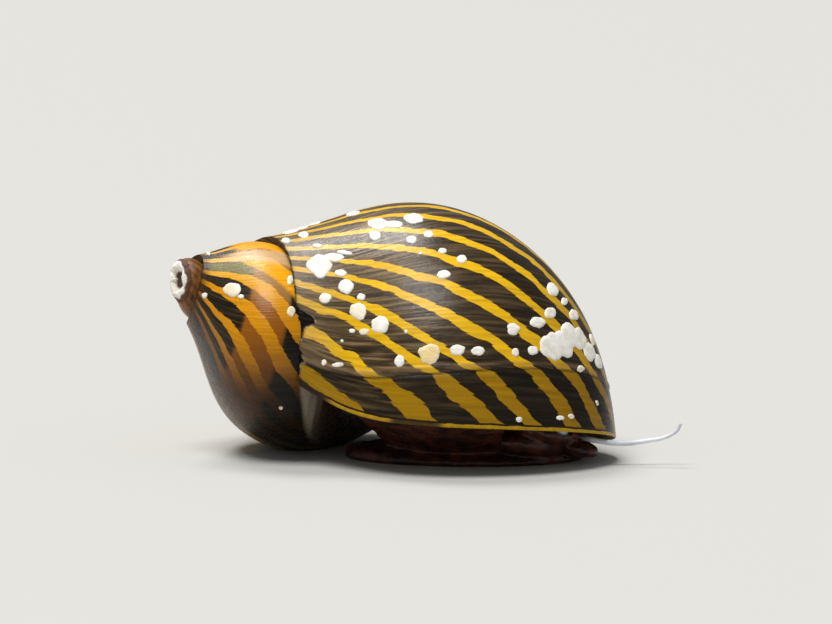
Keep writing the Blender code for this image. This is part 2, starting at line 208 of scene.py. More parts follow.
# Yellow stripes: each one's turn at the suture and how much of the common slant it takes.
stripes = {
    "starts": (44, 28, 12.5, -6.7, -20.8, -29.7, -40, -49.3, -59.3, -71.5, -84),
    "slants": (0, 0, 0.1, 0.62, 0.85, 1.0, 1.02, 1.04, 1.0, 1.12, 1.2),
    "hidden": (14, 11.5, 0.3),        # stripes round the back, their spacing and how it widens
    "early": (-323, -334.5, -348, -368, -386, -411, -441), "earlySpacing": 21, "earlyEnd": -980,
    "earlyFrom": (-250, -310),        # turns over which the spire's own slant takes over
    "slant": ((0, 0), (0.1, 3.5), (0.2, 7), (0.3, 11), (0.4, 13.3), (0.5, 15.5), (0.6, 18.5),
              (0.7, 22.5), (0.8, 28), (0.9, 34), (1, 41)),
    "earlySlant": ((0, 0), (0.2, 3), (0.3, 5.5), (0.4, 10.5), (0.5, 17.5), (0.6, 24), (1, 60)),
    "pauseShift": 0.9, "afterPause": 0.20,      # the jump at the pause, and the steeper run after it
    # half widths as shares of the way to the next: with what the base and the suture add, then the others
    "bodyWidth": (0.155, 0.05, 0.05), "afterWidth": 0.215, "spireWidth": (0.175, 0.065),
}

shell = {
    # the mesh: columns near the suture and how far they reach, then on the profile, the base and inside
    "nearSuture": (12, 0.05), "places": 76, "base": 8, "core": 5, "top": 5,
    "rows": ((-920, -700, 5), (-700, -360, 2.8), (-360, -120, 1.5), (-120, -44, 0.9), (-44, 0, 0.5)),
    # the lip's rounded edge, in the same two measures as the rows, and the rows of the lining behind it
    "lipRound": ((0.0, 0.0), (0.25, 0.12), (0.42, 0.32), (0.48, 0.5), (0.42, 0.68), (0.25, 0.88), (0.0, 1.0)),
    "insideTurn": -150, "insideFirst": 0.6, "insideGrowth": 1.35, "insideStep": 4,
    "lipWall": 0.13, "wall": 0.62, "wallTurn": -22,
    "wallTowards": (15, 6.5),      # the wall thickens towards this point of the whorl, mm at the lip
    "undercut": (1.1, 0.9),        # the whorl's hidden top goes in under the suture, mm at the lip
    "baseArch": 0.35, "meanRadius": 11,
    # edge of the broken corner: turn behind the lip, and place
    "chip": ((-34, 0), (-31.4, 0.019), (-30.3, 0.035), (-28.1, 0.039), (-25.5, 0.030), (-22.5, 0.016),
             (-17.5, 0.004), (-13.3, 0.001), (-11.2, 0.007), (-9.8, 0.020), (-6.5, 0.006), (-2.5, 0)),
    "chipDepth": 0.08, "chipSoft": 0.0035,
    "pause": (-9.0, -11.0),        # turn behind the lip at the suture, and its change to the base
    "pauseDepth": 0.055, "pauseScarAt": (-0.33, -0.14, 0.06), "pauseLineAt": (-0.02, 0.10, 0.05),    # mm
    "striae": 0.010, "setIn": 0.025,       # height of the growth lines; they stay inside the solids' box
    # where the callus's enamel begins: turn, and place
    "callusEdge": ((-345, 0.637), (-339, 0.655), (-332, 0.681), (-322, 0.709), (-308.7, 0.737),
                   (-295, 0.763), (-260, 0.84), (-230, 0.93), (-205, 1.01)),
    # colours of the horny skin: on the last whorl, then on the spire; those for lower down are painted shade,
    # in part a darker colour
    # the suture yellow and the suture dark are the paler colour beside the suture, partly a painted sheen
    "yellow": "#F0BC16", "yellowDarkAndShaded": "#926A04", "sutureYellowAndSheen": "#DCB04C",
    # the line colour is a painted highlight on the growth lines of the dark bands
    "dark": "#281D11", "darkShaded": "#130D05", "sutureDarkAndSheen": "#5E5040", "lineHighlight": "#A88C60",
    "lipLine": "#241607", "rimYellow": "#D6A40A", "rimOlive": "#8A7208",
    # the high amber is paler colour and partly painted light; the low amber and the low umber are painted
    # shade, in part a darker colour
    "amber": "#E0960C", "amberPaleAndLit": "#F2B432", "amberDarkAndShaded": "#4A2808", "orange": "#FFAE10",
    "pale": "#F2C288", "umber": "#151006", "umberDarkAndShaded": "#0C0803", "olive": "#9A945C",
    # the glow is painted light shining through the thin shell; its low colour is painted shade
    "glow": "#9C5A0A", "glowPale": "#A87A40", "glowDarkAndShaded": "#3A1E06",
    # colours of what lies over the stripes
    "bark": "#4A2812", "barkPale": "#8A5424", "pauseScar": "#9A7C5A", "pauseLine": "#1A110A",
    # the chip's dark colour is painted shade in the broken notch, in part the dark band seen through it
    "sutureLine": "#1A100A", "sutureHorn": "#6A563A", "chipShade": "#0E0905", "chipEdge": "#C8B496",
    # the low enamel is painted shade towards the callus's base
    "enamel": "#6E6354", "enamelPale": "#B5A994", "enamelShaded": "#2C130B",
    "lining": "#8C7C1E", "liningDeep": "#B8BAB4", "hidden": "#35190F", "plainCover": "#3A2A1C",
}

# The spire's bands of colour, each from, to and how soft: turns, or places where it says so.
spireBands = {
    "orange": (-505, -423, 3), "pale": (-422, -404, 2), "olive": (-403, -386, 3),
    "wedge": (-399, 38, 3, 22),            # an orange band's turn, slant, half width and widening
    "olivePlaces": (0.03, 0.29, 0.03), "glowPlaces": (0.28, 0.515, 0.012), "glowFrom": (-410, -400),
    "barkFrom": (-488, -512),
}


def stripeCentres():
    starts, slants = list(stripes["starts"]), list(stripes["slants"])
    count, gap, widening = stripes["hidden"]
    last = starts[-1]
    for i in range(1, count + 1):
        starts.append(last - gap * i - widening * i * i)
        slants.append(stripes["slants"][-1])
    starts += stripes["early"]
    while starts[-1] > stripes["earlyEnd"]:
        starts.append(starts[-1] - stripes["earlySpacing"])
    slants += [1.0] * (len(starts) - len(slants))
    return list(zip(starts, slants))[::-1]


def stripePhases(place):
    # the stripes' turns at this place, earliest first
    body, early = along(stripes["slant"], place), along(stripes["earlySlant"], place)
    turns = []
    for start, slant in stripeCentres():
        turns.append(start + mix(slant * body, early, smooth(*stripes["earlyFrom"], start)))
    return turns


def pauseTurn(place):
    return shell["pause"][0] + shell["pause"][1] * place


def rowList():
    # each row: turn behind the lip, and depth into the wall as a share of it
    rows = []
    for start, end, step in shell["rows"]:
        count = round((end - start) / step)
        rows += [(start + (end - start) * i / count, 0.0) for i in range(count)]
    rows += shell["lipRound"]
    turn, step = -shell["insideFirst"], shell["insideFirst"]
    while turn > shell["insideTurn"]:
        rows.append((turn, 1.0))
        step = min(step * shell["insideGrowth"], shell["insideStep"])
        turn -= step
    return rows


def relief(behind, place):
    # fine growth lines and the ledge where growth paused, in mm off the smooth surface
    line = behind * 0.9 + 2.2 * noise.noise(Vector((behind * 0.11, place * 3, 1.7)))
    fine = noise.noise(Vector((line * 1.9, place * 2.5, 4.1)))
    fine += 0.6 * noise.noise(Vector((line * 4.5, place * 4, 9.3)))
    ledge = behind - pauseTurn(place) - 0.5 * noise.noise(Vector((place * 9, 2.2, 0.4)))
    groove = -shell["pauseDepth"] * exp(-(ledge / 0.55) ** 2) + 0.05 * exp(-((ledge + 1.3) / 0.7) ** 2)
    return shell["striae"] * fine * smooth(-400, -250, behind) + groove - shell["setIn"]


def chipShare(behind, place):
    # 1 where the lip's corner beside the suture has broken away
    if not shell["chip"][0][0] < behind < shell["chip"][-1][0]:
        return 0.0
    edge = along(shell["chip"], behind) + 0.010 * noise.noise(Vector((behind * 0.28, 1, 3.3)))
    return smooth(edge + shell["chipSoft"], edge - shell["chipSoft"], place)


def placeList():
    # places across the whorl, closer together beside the suture
    fine, reach = shell["nearSuture"]
    coarse = shell["places"]
    return ([reach * k / fine for k in range(fine)]
            + [reach + (1 - reach) * k / coarse for k in range(coarse + 1)])


def spireShare(turn):
    # 0 on the last whorl, 1 on the spire
    return smooth(-250, -300, turn)


def stripeWidth(turn, behind, place):
    width, atBase, atSuture = stripes["bodyWidth"]
    width = width + atBase * smooth(0.5, 0.75, place) + atSuture * smooth(0.12, 0.0, place)
    width = mix(width, stripes["afterWidth"], smooth(0, 1.5, behind - pauseTurn(place)))
    spire, lower = stripes["spireWidth"]
    return mix(width, spire + lower * smooth(0.15, 0.32, place), spireShare(turn))


shellFields = ("stripePhase", "stripeWidth", "growthLength", "profileLength", "lipDistance", "rim",
               "plain", "lines", "cover")
shellTones = ("light", "dark", "coverTone")


def window(value, low, high, soft):
    # 1 between low and high, 0 outside
    return smooth(low - soft, low + soft, value) * smooth(high + soft, high - soft, value)


@lru_cache(maxsize=None)
def tintOf(hexCode):
    return Vector(colour(hexCode)[:3])


def tone(name):
    return tintOf(shell[name])


def spireShade(turn, place):
    # painted shade, in part the spire's own darker colour: the spire darkens downwards, and sooner beside the
    # last whorl
    return smooth(-356, -306, turn + 60 * max(place - 0.25, 0))


def lightTone(turn, place, pastPause):
    # the stripes' colour
    nearSuture = smooth(0.14, 0.02, place) * smooth(0.5, -0.5, pastPause)
    # painted shade, with the later growth's darker yellow past the pause: the yellow darkens towards the base
    # and past the pause
    body = tone("yellow").lerp(tone("yellowDarkAndShaded"), smooth(0.5, 0.95, place))
    body = body.lerp(tone("yellowDarkAndShaded"), 0.85 * smooth(-0.5, 0.5, pastPause))
    # paler beside the suture, partly a painted sheen
    body = body.lerp(tone("sutureYellowAndSheen"), 0.8 * nearSuture)
    low = spireShade(turn, place)
    # painted light higher up and painted shade lower down, in part the spire's own colour: the stripes pale
    # upwards, darken downwards and go umber low beside the last whorl
    spire = tone("amber").lerp(tone("amberPaleAndLit"), smooth(-368, -392, turn)).lerp(tone("amberDarkAndShaded"), low)
    spire = spire.lerp(tone("umber"), 0.8 * smooth(0.42, 0.6, place) * smooth(-345, -325, turn))
    spire = spire.lerp(tone("orange"), plainOrange(turn, place)).lerp(tone("pale"), plainPale(turn, place))
    spire = spire.lerp(tone("bark"), 0.75 * smooth(0.05, 0.0, place))
    return body.lerp(spire, spireShare(turn))


def darkTone(turn, place, pastPause):
    # the colour between the stripes
    nearSuture = smooth(0.14, 0.02, place) * smooth(0.5, -0.5, pastPause)
    # painted shade: the dark bands darken towards the base and past the pause
    body = tone("dark").lerp(tone("darkShaded"), max(smooth(0.35, 0.8, place), smooth(-0.5, 0.5, pastPause)))
    # paler beside the suture, partly a painted sheen
    body = body.lerp(tone("sutureDarkAndSheen"), 0.6 * nearSuture)
    # painted sheen: the dark bands are paler high on the last whorl, behind the lip
    body = body.lerp(tone("sutureDarkAndSheen"), 0.35 * window(turn, -95, -25, 18) * window(place, 0.05, 0.34, 0.08))
    # painted shade, in part a darker colour: the dark bands darken lower down
    spire = tone("umber").lerp(tone("umberDarkAndShaded"), smooth(0.45, 0.6, place))
    olive = window(turn, *spireBands["olive"]) * window(place, *spireBands["olivePlaces"])
    spire = spire.lerp(tone("olive"), 0.6 * olive)
    # painted light shining through the thin shell in a band across the dark bands, paler higher up, with
    # painted shade lower down
    glow = tone("glow").lerp(tone("glowPale"), smooth(-366, -384, turn))
    glow = glow.lerp(tone("glowDarkAndShaded"), spireShade(turn, place))
    glowing = window(place, *spireBands["glowPlaces"]) * smooth(*spireBands["glowFrom"], turn)
    spire = spire.lerp(glow, 0.92 * glowing)
    spire = spire.lerp(tone("bark"), 0.6 * smooth(0.04, 0.0, place))
    return body.lerp(spire, spireShare(turn))


def plainOrange(turn, place):
    # the top band, and one that widens towards the last whorl
    start, slant, half, widening = spireBands["wedge"]
    centre, reach = start + slant * (place - 0.3), half + widening * (place - 0.25)
    return max(window(turn, *spireBands["orange"]) * smooth(0.15, 0.24, place),
               window(turn, centre - reach, centre + reach, 1.5) * smooth(0.19, 0.25, place))


def plainPale(turn, place):
    return window(turn, *spireBands["pale"]) * smooth(0.05, 0.2, place)


def coverAt(turn, behind, place, depth):
    # what lies over the stripes: how much, and its colour
    covers = []
    bark = tone("bark").lerp(tone("barkPale"), 0.5 + noise.noise(Vector((turn * 0.09, place * 14, 2))))
    covers.append((0.9 * smooth(*spireBands["barkFrom"], turn), bark))
    # at the pause, a pale scar and then a dark line
    stopped = (behind - pauseTurn(place)) * radians(section(turn, place).y)
    patchy = min(max(0.5 + noise.noise(Vector((place * 26, 1.5, 8.5))), 0), 1)
    covers.append((0.55 * patchy * window(stopped, *shell["pauseScarAt"]), tone("pauseScar")))
    covers.append((0.85 * window(stopped, *shell["pauseLineAt"]), tone("pauseLine")))
    # the suture, with dull horn beside it round the back
    covers.append((0.85 * smooth(0.006, 0.001, place), tone("sutureLine")))
    covers.append((0.7 * smooth(0.05, 0.02, place) * window(turn, -300, -120, 20), tone("sutureHorn")))
    # the broken corner, painted dark as shade in the notch and in part the dark band seen through it, with a
    # pale ragged edge
    chip = chipShare(behind, place)
    covers.append((chip, tone("chipShade")))
    ragged = 0.5 + noise.noise(Vector((behind * 0.8, place * 50, 4)))
    covers.append((min(1.3 * ragged * 4 * chip * (1 - chip), 1), tone("chipEdge")))
    # enamel spread from the callus, with painted shade towards its base
    edge = along(shell["callusEdge"], turn) + 0.004 * noise.noise(Vector((turn * 0.1, 5, 5)))
    streak = 0.5 + 0.9 * noise.noise(Vector((place * 60, turn * 0.03, 7)))
    enamel = tone("enamel").lerp(tone("enamelPale"), min(max(streak, 0), 1))
    # painted shade: the enamel darkens towards the base
    enamel = enamel.lerp(tone("enamelShaded"), 0.93 * smooth(0.70, 0.81, place))
    covers.append((smooth(edge - 0.008, edge + 0.018, place) * window(turn, -348, -195, 4), enamel))
    # the lining, paler further in
    lining = tone("lining").lerp(tone("liningDeep"), smooth(-4, -16, behind))
    covers.append((smooth(0.5, 1.0, depth), lining))
    amount, over = 0.0, tone("plainCover")
    for share, paint in covers:
        if share:
            over = over.lerp(paint, share) if amount else paint
        amount = 1 - (1 - amount) * (1 - share)
    return amount, over


def shellFieldsAt(turn, behind, place, depth, phases, hidden):
    centres = phases[place]
    pastPause = behind - pauseTurn(place)
    at = turn + stripes["pauseShift"] * smooth(-0.15, 0.15, pastPause)
    at -= stripes["afterPause"] * smooth(0.2, 0.42, place) * max(pastPause, 0)
    k = min(max(bisect_right(centres, at) - 1, 0), len(centres) - 2)
    amount, over = coverAt(turn, behind, place, depth)
    if hidden:
        amount, over = 1.0, tone("hidden") if depth < 0.5 else over
    return {
        "stripePhase": k + (at - centres[k]) / (centres[k + 1] - centres[k]),
        "stripeWidth": stripeWidth(turn, behind, place),
        "growthLength": radians(behind) * shell["meanRadius"],
        "profileLength": profileLength(place) * sizeAt(turn),
        "lipDistance": -behind * radians(section(turn, place).y) * (1 if depth < 0.5 else -1),
        "rim": smooth(0.07, 0.12, place) * mix(1, 0.1, window(place, 0.30, 0.43, 0.01)),
        "plain": max(plainOrange(turn, place), 0.8 * plainPale(turn, place)),
        # strength of the painted highlight on the growth lines: strongest high on the last whorl, weaker lower
        # down, on the spire and past the pause
        "lines": (mix(1.25, 0.25, smooth(0.2, 0.6, place)) * mix(1, 0.25, spireShare(turn))
                  * mix(1, 0.35, smooth(-0.5, 0.5, pastPause))),
        "cover": amount,
        "light": (*lightTone(turn, place, pastPause), 1),
        "dark": (*darkTone(turn, place, pastPause), 1),
        "coverTone": (*over, 1),
    }


@lru_cache(maxsize=None)
def profileLength(place):
    steps = 40
    points = [profileAt(round(place * k / steps, 5)) for k in range(steps + 1)]
    return sum((b - a).length for a, b in zip(points, points[1:]))


def hiddenPoint(behind, beyond):
    # from the base to the axis, up along it, and out to the suture under the whorl's edge
    baseTurn, topTurn = behind + lipTurn(1), behind + lipTurn(0)
    base, suture = section(baseTurn, 1), section(topTurn, 0)
    core = Vector((base.x - coil["baseDip"] * sizeAt(baseTurn), coil["coreRadius"]))
    size = sizeAt(topTurn)
    under = Vector((suture.x + shell["undercut"][0] * size, suture.y - shell["undercut"][1] * size))
    coreTop = Vector((under.x, coil["coreRadius"]))
    if beyond <= shell["base"]:
        f = beyond / shell["base"]
        return baseTurn, base.lerp(core, f) + Vector((shell["baseArch"] * sin(pi * f), 0))
    if beyond <= shell["base"] + shell["core"]:
        f = (beyond - shell["base"]) / shell["core"]
        return mix(baseTurn, topTurn, f), core.lerp(coreTop, f)
    f = (beyond - shell["base"] - shell["core"]) / (shell["top"] - 1)
    return topTurn, coreTop.lerp(under, min(f, 1))


# The worn tip's plane crosses the axis "at" mm from the apex and tilts towards the turn "way"; its middle
# lies "offset" mm off the axis. The piece is rings from inside the shell to the middle of the hollow: how
# far each lies off the plane in mm, and its share of the way out to the shell's edge.
wornTip = {
    "at": 1.0, "tilt": radians(27.5), "way": 37, "offset": 0.55,
    "steps": ((-0.9, 0.45), (-0.12, 0.96), (-0.08, 1.02), (0.0, 1.03), (0.09, 1.0), (0.17, 0.94),
              (0.23, 0.86), (0.27, 0.78), (0.29, 0.70), (0.27, 0.62), (0.22, 0.54), (0.13, 0.47),
              (0.06, 0.39), (0.04, 0.2)),
    "sides": 60,
    "white": 0.88, "hollow": 0.45,           # where the bare lime starts, and the hollow, as shares
}


def wornFrame():
    # middle of the worn face, the way out of it, and two directions across it
    way, tilt = radians(wornTip["way"]), wornTip["tilt"]
    down = firstSide * cos(way) + secondSide * sin(way)
    out = down * sin(tilt) - axis * cos(tilt)
    across = down * cos(tilt) + axis * sin(tilt)
    middle = coil["apex"] + axis * wornTip["at"] + across * wornTip["offset"]
    return middle, out, across, out.cross(across)


def makeShell(material):
    rows, places = rowList(), placeList()
    hidden = shell["base"] + shell["core"] + shell["top"]
    columns = len(places) - 1 + hidden
    phases = {place: stripePhases(place) for place in places}
    bm = bmesh.new()
    bmesh.ops.create_grid(bm, x_segments=columns, y_segments=len(rows) - 1, size=1)
    fields = {name: bm.verts.layers.float.new(name) for name in shellFields}
    fields.update({name: bm.verts.layers.float_color.new(name) for name in shellTones})
    for vert in bm.verts:
        j = round((vert.co.x + 1) / 2 * columns)
        i = round((vert.co.y + 1) / 2 * (len(rows) - 1))
        behind, depth = rows[i]
        beyond = j - (len(places) - 1)
        if j == columns:
            j, beyond = 0, 0         # the last column closes on the suture
        place = places[min(j, len(places) - 1)]
        if beyond <= 0:
            turn = behind + lipTurn(place)
            lift = relief(behind, place) - shell["chipDepth"] * chipShare(behind, place)
            point = shellPoint(turn, place, lift)
        else:
            turn, flat = hiddenPoint(behind, beyond)
            point = coilPoint(turn, flat.x, flat.y)
        wall = mix(shell["wall"], shell["lipWall"], smooth(shell["wallTurn"], 0, behind))
        if depth:
            size = sizeAt(turn)
            middle = coilPoint(turn, *(reach * size for reach in shell["wallTowards"]))
            point += (middle - point).normalized() * wall * depth
        if beyond > 0:
            point.z = max(point.z, apertureZ(point) + wall * depth)
        point.z = max(point.z, 0.0)
        vert.co = point
        for name, value in shellFieldsAt(turn, behind, place, depth, phases, beyond > 0).items():
            vert[fields[name]] = value
    bmesh.ops.remove_doubles(bm, verts=bm.verts, dist=0.0005)
    everything = bm.verts[:] + bm.edges[:] + bm.faces[:]
    middle, out, across, aside = wornFrame()
    cut = bmesh.ops.bisect_plane(bm, geom=everything, plane_co=middle, plane_no=out, clear_outer=True)
    # how far the cut's outer edge lies from the middle, all round
    sides = wornTip["sides"]
    edge = [0.0] * sides
    for side in (e for e in cut["geom_cut"] if isinstance(e, bmesh.types.BMEdge)):
        for i in range(13):
            away = side.verts[0].co.lerp(side.verts[1].co, i / 12) - middle
            k = round(atan2(away.dot(aside), away.dot(across)) / (2 * pi) * sides) % sides
            edge[k] = max(edge[k], away.length)
    edge = [(edge[k - 1] + edge[k] * 2 + edge[(k + 1) % sides]) / 4 for k in range(sides)]
    bmesh.ops.holes_fill(bm, edges=[e for e in bm.edges if e.is_boundary], sides=0)
    finish("shell", bm, ("shell_last_whorl", "shell_spire"), material)
    return edge


# Spacing in mm and detail of each noise in the shell's skin; lines and bands run along the growth.
glaze = {
    "lines": (0.22, 4), "bands": (1.1, 3), "grain": (0.25, 4), "clouds": (2.5, 3), "sway": (1.5, 1),
    "jitter": (0.6, 3),
    "drawnOut": 0.06,        # lines and bands change this much more slowly along the lip
    "step": 0.62,            # a stripe steps sideways about every so many mm of growth
}


def makeShellGlaze():
    # Lime shell under a thin horny skin: satin, with growth lines. It is kept less glossy than in air,
    # as the real one is seen under water.
    material, tree, shader = newMaterial("limeShellUnderHornySkin", 0.3, 1.53)
    shader.inputs["Specular IOR Level"].default_value = 0.18
    here = add(tree, "ShaderNodeTexCoord", {}, {}, "Object")
    field, paint = {}, {}
    for store, names, output in ((field, shellFields, "Fac"), (paint, shellTones, "Color")):
        for name in names:
            store[name] = add(tree, "ShaderNodeAttribute", {"attribute_name": name}, {}, output)

    # growth lines, drawn out along the lip
    squeezed = add(tree, "ShaderNodeMath", times, {0: field["profileLength"], 1: glaze["drawnOut"]})
    growth = add(tree, "ShaderNodeCombineXYZ", {}, {0: field["growthLength"], 1: squeezed})
    noises = []
    for name in ("lines", "bands", "grain", "clouds", "sway", "jitter"):
        span, detail = glaze[name]
        vector, unit = (growth, 1) if name in ("lines", "bands") else (here, mm)
        settings = {"Vector": vector, "Scale": 1 / (span * unit), "Detail": detail}
        noises.append(add(tree, "ShaderNodeTexNoise", {}, settings))
    lines, bands, grain, clouds, sway, jitter = noises

    # a stripe sways, and steps sideways
    swayed = add(tree, "ShaderNodeMath", timesPlus, {0: sway, 1: 0.30, 2: -0.23})
    swayed = add(tree, "ShaderNodeMath", timesPlus, {0: jitter, 1: 0.13, 2: swayed})
    stepLength = add(tree, "ShaderNodeMath", {"operation": "DIVIDE"},
                     {0: field["growthLength"], 1: glaze["step"]})
    stepAt = add(tree, "ShaderNodeMath", timesPlus, {0: bands, 1: 2.5, 2: stepLength})
    steps = add(tree, "ShaderNodeMath", {"operation": "FRACT"}, {0: stepAt})
    swayed = add(tree, "ShaderNodeMath", timesPlus, {0: steps, 1: 0.04, 2: swayed})
    phase = add(tree, "ShaderNodeMath", {"operation": "ADD"}, {0: field["stripePhase"], 1: swayed})
    fromCentre = add(tree, "ShaderNodeMath", {"operation": "PINGPONG"}, {0: phase, 1: 0.5})
    width = add(tree, "ShaderNodeMath", timesPlus, {0: clouds, 1: 0.12, 2: field["stripeWidth"]})
    within = add(tree, "ShaderNodeMath", {"operation": "SUBTRACT"}, {0: width, 1: fromCentre})
    stripe = add(tree, "ShaderNodeMapRange", softEdge, {0: within, 1: 0.048, 2: 0.072})
    stripe = add(tree, "ShaderNodeMath", {"operation": "MAXIMUM"}, {0: stripe, 1: field["plain"]})

    # lines show darker on yellow, and paler on the dark bands as a painted highlight that is strongest high on
    # the last whorl
    shade = add(tree, "ShaderNodeMapRange", {}, {0: lines, 1: 0.35, 2: 0.72, 3: 1.06, 4: 0.66})
    light = add(tree, "ShaderNodeMix", {**blend, "blend_type": "MULTIPLY"},
                {0: 0.8, 6: paint["light"], 7: shade}, 2)
    highlit = add(tree, "ShaderNodeMapRange", softEdge, {0: lines, 1: 0.42, 2: 0.74})
    patchy = add(tree, "ShaderNodeMapRange", softEdge, {0: bands, 1: 0.35, 2: 0.65})
    highlit = add(tree, "ShaderNodeMath", timesPlus, {0: patchy, 1: 0.22, 2: highlit})
    highlit = add(tree, "ShaderNodeMath", times, {0: highlit, 1: field["lines"]})
    highlit = add(tree, "ShaderNodeMath", {**times, "use_clamp": True}, {0: highlit, 1: 0.48})
    dark = add(tree, "ShaderNodeMix", blend, {0: highlit, 6: paint["dark"], 7: colour(shell["lineHighlight"])}, 2)
    base = add(tree, "ShaderNodeMix", blend, {0: stripe, 6: dark, 7: light}, 2)

    # the yellow rim of the lip, broken up, with a dark line beside it
    ragged = add(tree, "ShaderNodeMath", timesPlus, {0: jitter, 1: 0.14, 2: field["lipDistance"]})
    before = add(tree, "ShaderNodeMapRange", softEdge, {0: ragged, 1: 0.30, 2: 0.24})
    base = add(tree, "ShaderNodeMix", blend, {0: before, 6: base, 7: colour(shell["lipLine"])}, 2)
    rim = add(tree, "ShaderNodeMapRange", softEdge, {0: ragged, 1: 0.185, 2: 0.155})
    rim = add(tree, "ShaderNodeMath", times, {0: rim, 1: field["rim"]})
    golden = add(tree, "ShaderNodeMix", blend,
                 {0: grain, 6: colour(shell["rimYellow"]), 7: colour(shell["rimOlive"])}, 2)
    base = add(tree, "ShaderNodeMix", blend, {0: rim, 6: base, 7: golden}, 2)
    base = add(tree, "ShaderNodeMix", blend, {0: field["cover"], 6: base, 7: paint["coverTone"]}, 2)
    tree.links.new(base, shader.inputs["Base Color"])

    roughness = add(tree, "ShaderNodeMapRange", {}, {0: grain, 1: 0.3, 2: 0.7, 3: 0.22, 4: 0.36})
    tree.links.new(roughness, shader.inputs["Roughness"])
    height = add(tree, "ShaderNodeMath", timesPlus, {0: grain, 1: 0.4, 2: lines})
    bump = add(tree, "ShaderNodeBump", {}, {"Strength": 0.45, "Distance": 0.05 * mm, "Height": height})
    tree.links.new(bump, shader.inputs["Normal"])
    return material


def makeApex(edge, material):
    bm = bmesh.new()
    middle, out, across, aside = wornFrame()
    sides = wornTip["sides"]
    rings = []
    for lift, share in wornTip["steps"]:
        ring = []
        for k in range(sides):
            a = 2 * pi * k / sides
            uneven = noise.noise(Vector((cos(a) * 1.4, sin(a) * 1.4, 2)))
            radius = edge[k] * share * (1 + 0.16 * smooth(0.9, 0.7, share) * uneven)
            ring.append(middle + out * lift + (across * cos(a) + aside * sin(a)) * radius)
        rings.append(ring)
    bmesh.ops.poke(bm, faces=[loops(bm, rings)])
    bmesh.ops.subdivide_edges(bm, edges=[e for e in bm.edges if (e.verts[0].co - middle).dot(out) > -0.3],
                              cuts=2, use_grid_fill=True)
    bmesh.ops.recalc_face_normals(bm, faces=bm.faces)
    bm.normal_update()
    pit, bark = (bm.verts.layers.float.new(name) for name in ("pit", "bark"))
    for vert in bm.verts:
        away = vert.co - middle
        height = away.dot(out)
        k = round(atan2(away.dot(aside), away.dot(across)) / (2 * pi) * sides) % sides
        share = (away - out * height).length / edge[k]
        share += 0.10 * noise.noise(vert.co * 2.5)
        vert[pit] = smooth(wornTip["hollow"] + 0.05, wornTip["hollow"] - 0.05, share)
        vert[bark] = smooth(wornTip["white"] - 0.04, wornTip["white"] + 0.04, share)
        rough = 0.07 * noise.noise(vert.co * 2.2) + 0.035 * noise.noise(vert.co * 7)
        vert.co += vert.normal * rough * smooth(-0.1, 0.1, height) * (1 - 0.8 * vert[pit])
    finish("wornApex", bm, ("shell_apex",), material)


chalk = {
    "apex": ("#FBF8F0", "#E2DACA", 0.7), "spots": ("#FBF8F0", "#E8E2D0", 0.55),     # pale, shade, roughness
    "yellowed": "#EFC64A", "stains": (("pit", "#4A2E1C"), ("bark", "#5E3A1E")),
}


def makeChalk(name, pale, shade, roughness):
    # Bare, weathered shell lime: dull white with pits and stained hollows.
    material, tree, shader = newMaterial(name, roughness, 1.5)
    here = add(tree, "ShaderNodeTexCoord", {}, {}, "Object")
    cloud = add(tree, "ShaderNodeTexNoise", {}, {"Vector": here, "Scale": 1 / (0.5 * mm), "Detail": 5.0})
    grit = add(tree, "ShaderNodeTexNoise", {}, {"Vector": here, "Scale": 1 / (0.09 * mm), "Detail": 3.0})
    factor = add(tree, "ShaderNodeMapRange", softEdge, {0: cloud, 1: 0.4, 2: 0.72})
    tint = add(tree, "ShaderNodeAttribute", {"attribute_name": "tint"}, {}, "Fac")
    base = add(tree, "ShaderNodeMix", blend, {0: factor, 6: colour(pale), 7: colour(shade)}, 2)
    stained = add(tree, "ShaderNodeMix", blend, {0: tint, 6: base, 7: colour(chalk["yellowed"])}, 2)
    for field, stain in chalk["stains"]:
        share = add(tree, "ShaderNodeAttribute", {"attribute_name": field}, {}, "Fac")
        stained = add(tree, "ShaderNodeMix", blend, {0: share, 6: stained, 7: colour(stain)}, 2)
    tree.links.new(stained, shader.inputs["Base Color"])
    bump = add(tree, "ShaderNodeBump", {}, {"Strength": 0.6, "Distance": 0.04 * mm, "Height": grit})
    tree.links.new(bump, shader.inputs["Normal"])
    return material


